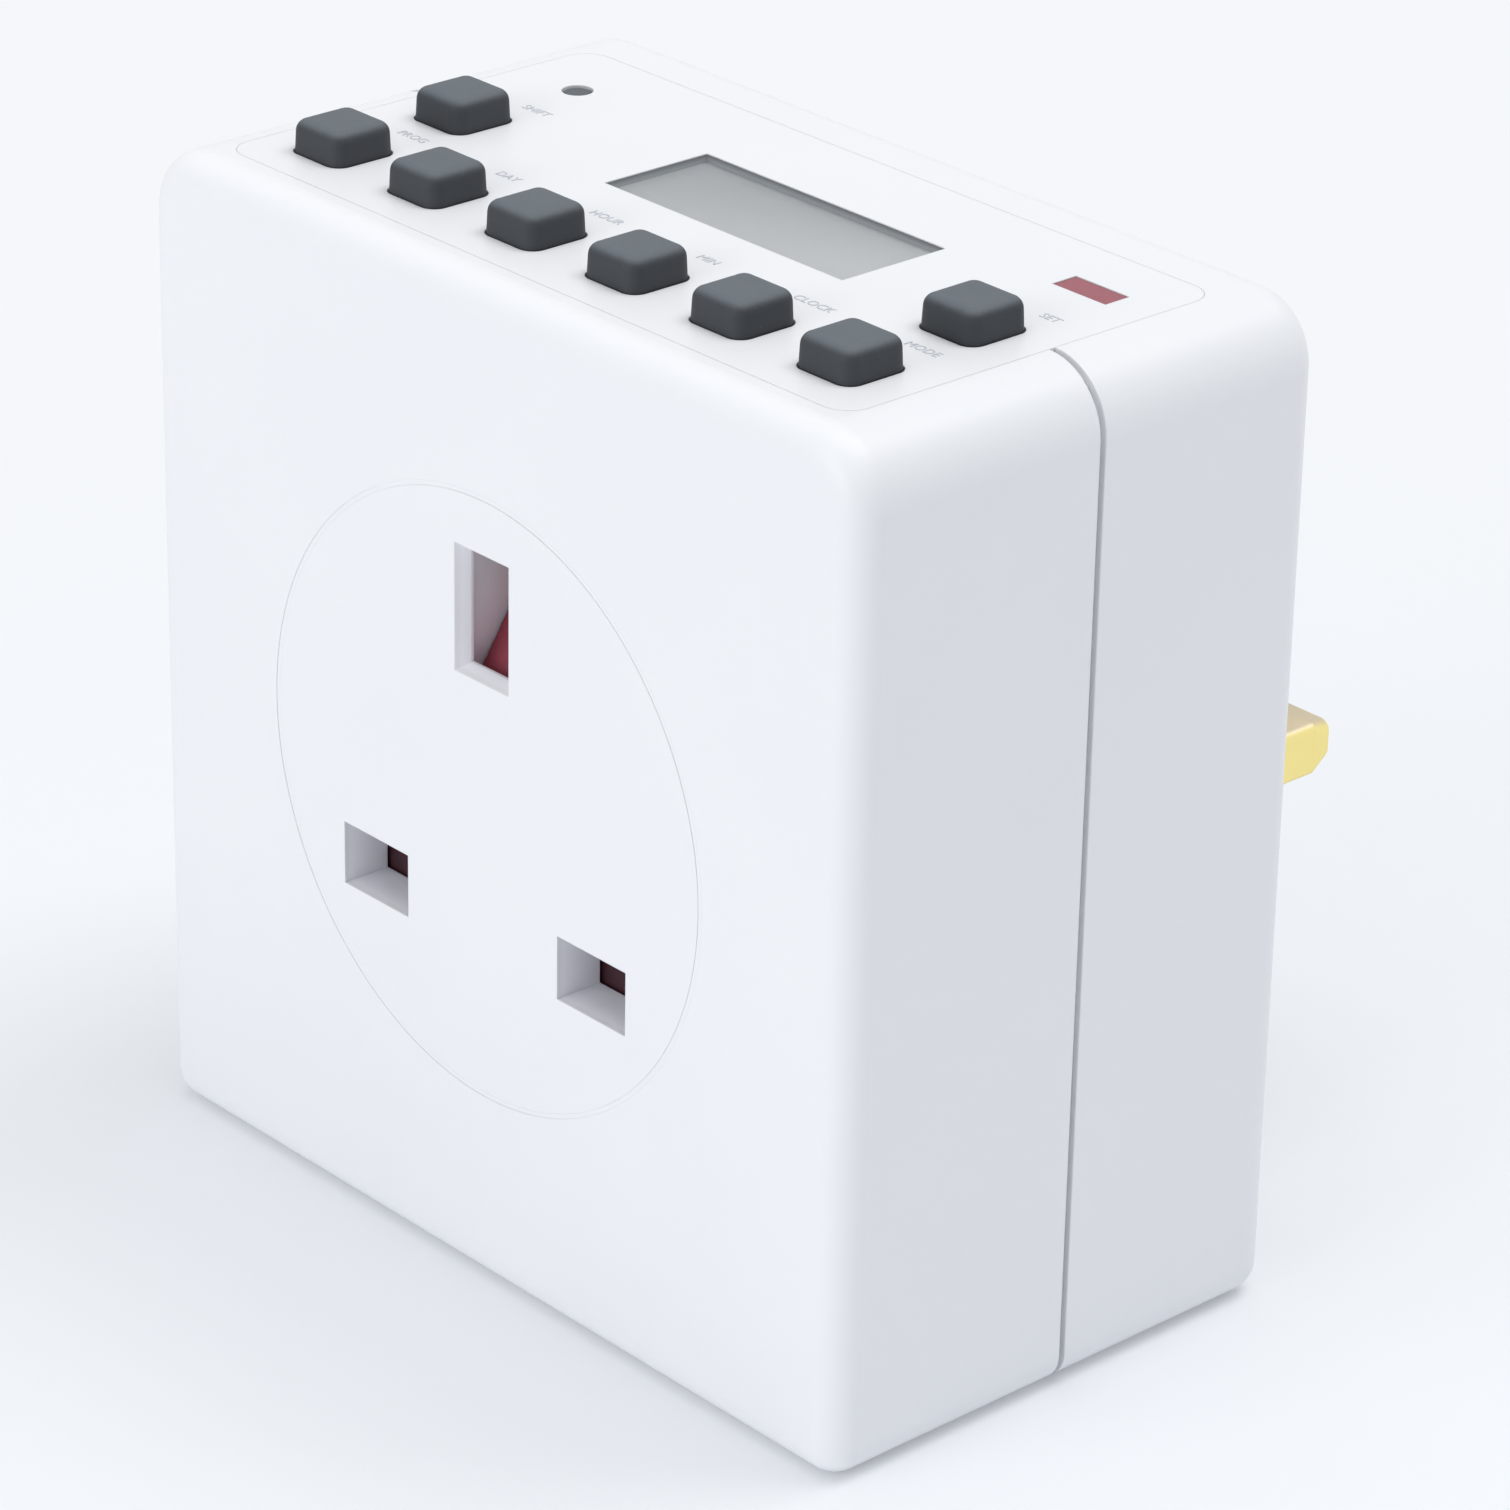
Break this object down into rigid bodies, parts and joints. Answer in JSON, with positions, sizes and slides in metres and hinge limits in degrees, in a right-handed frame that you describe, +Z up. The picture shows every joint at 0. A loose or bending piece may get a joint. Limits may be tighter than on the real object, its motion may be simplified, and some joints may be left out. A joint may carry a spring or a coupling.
{
  "type": "plug-in digital time switch",
  "caption": "White plug-in digital time switch: shuttered socket on the front, plug pins on the back, keys, display and indicator on top.",
  "frame": {"origin": "on the standing surface, below the middle of the overall box", "axes": "+Z up, -Y out of the socket face, +Y along the plug pins, +X to the right seen from the socket side"},
  "size_m": [0.0706, 0.0724, 0.0745],
  "materials": {
    "white_case": "smooth, semi-gloss",
    "key_rubber": "soft, matt",
    "clear_window": "clear, polished",
    "display_grey": "smooth",
    "indicator_red": "translucent",
    "shutter_red": "moulded",
    "pin_brass": "drawn, plain",
    "sleeve_black": "moulded",
    "inner_moulding": "moulded",
    "board_green": "solder mask",
    "zinc_steel": "zinc plated",
    "relay_blue": "moulded",
    "dropper_yellow": "cast",
    "part_black": "moulded",
    "resistor_blue": "lacquered",
    "plunger_grey": "moulded",
    "wire_brown": "extruded",
    "wire_blue": "extruded",
    "ribbon_grey": "extruded"
  },
  "bodies": {
    "case": {"front_cover": "white_case", "rear_cover": "white_case", "control_panel": "white_case", "keypad_mat": "key_rubber", "display_window": "clear_window", "lcd_glass": "display_grey", "led_window": "indicator_red", "status_led": "indicator_red", "line_pin": "pin_brass", "neutral_pin": "pin_brass", "earth_pin": "pin_brass", "line_contact": "pin_brass", "neutral_contact": "pin_brass", "earth_contact": "pin_brass", "line_pin_sleeve": "sleeve_black", "neutral_pin_sleeve": "sleeve_black", "contact_carrier": "inner_moulding", "pin_retainer": "inner_moulding", "lcd_frame": "inner_moulding", "link_sockets": "inner_moulding", "control_board": "board_green", "power_board": "board_green", "case_screws": "zinc_steel", "carrier_screws": "zinc_steel", "retainer_screws": "zinc_steel", "power_board_screws": "zinc_steel", "control_board_screws": "zinc_steel", "shutter_spring": "zinc_steel", "backup_battery": "zinc_steel", "crystal": "zinc_steel", "relay": "relay_blue", "dropper_capacitor": "dropper_yellow", "control_chip": "part_black", "rectifier_diodes": "part_black", "smoothing_capacitor": "part_black", "reset_switch": "part_black", "zebra_strips": "part_black", "fuse_resistor": "resistor_blue", "line_lead_in": "wire_brown", "line_lead_out": "wire_brown", "neutral_lead": "wire_blue", "link_cable": "ribbon_grey"},
    "key_front_1": {"key_front_1": "key_rubber"},
    "key_front_2": {"key_front_2": "key_rubber"},
    "key_front_3": {"key_front_3": "key_rubber"},
    "key_front_4": {"key_front_4": "key_rubber"},
    "key_front_5": {"key_front_5": "key_rubber"},
    "key_front_6": {"key_front_6": "key_rubber"},
    "key_rear_left": {"key_rear_left": "key_rubber"},
    "key_rear_right": {"key_rear_right": "key_rubber"},
    "reset_plunger": {"reset_plunger": "plunger_grey"},
    "shutter": {"shutter": "shutter_red"}
  },
  "joints": [
    {"name": "key_front_1_press", "type": "slide", "parent": "case", "child": "key_front_1", "axis": [0, 0, -1], "range_m": [0, 0.0009], "stiffness_N_per_m": 800},
    {"name": "key_front_2_press", "type": "slide", "parent": "case", "child": "key_front_2", "axis": [0, 0, -1], "range_m": [0, 0.0009], "stiffness_N_per_m": 800},
    {"name": "key_front_3_press", "type": "slide", "parent": "case", "child": "key_front_3", "axis": [0, 0, -1], "range_m": [0, 0.0009], "stiffness_N_per_m": 800},
    {"name": "key_front_4_press", "type": "slide", "parent": "case", "child": "key_front_4", "axis": [0, 0, -1], "range_m": [0, 0.0009], "stiffness_N_per_m": 800},
    {"name": "key_front_5_press", "type": "slide", "parent": "case", "child": "key_front_5", "axis": [0, 0, -1], "range_m": [0, 0.0009], "stiffness_N_per_m": 800},
    {"name": "key_front_6_press", "type": "slide", "parent": "case", "child": "key_front_6", "axis": [0, 0, -1], "range_m": [0, 0.0009], "stiffness_N_per_m": 800},
    {"name": "key_rear_left_press", "type": "slide", "parent": "case", "child": "key_rear_left", "axis": [0, 0, -1], "range_m": [0, 0.0009], "stiffness_N_per_m": 800},
    {"name": "key_rear_right_press", "type": "slide", "parent": "case", "child": "key_rear_right", "axis": [0, 0, -1], "range_m": [0, 0.0009], "stiffness_N_per_m": 800},
    {"name": "reset_press", "type": "slide", "parent": "case", "child": "reset_plunger", "axis": [0, 0, -1], "range_m": [0, 0.0004], "stiffness_N_per_m": 1200},
    {"name": "shutter_slide", "type": "slide", "parent": "case", "child": "shutter", "axis": [0, 0, -1], "range_m": [0, 0.006], "stiffness_N_per_m": 250, "springref_m": -0.004, "deforming": ["shutter_spring"]}
  ]
}
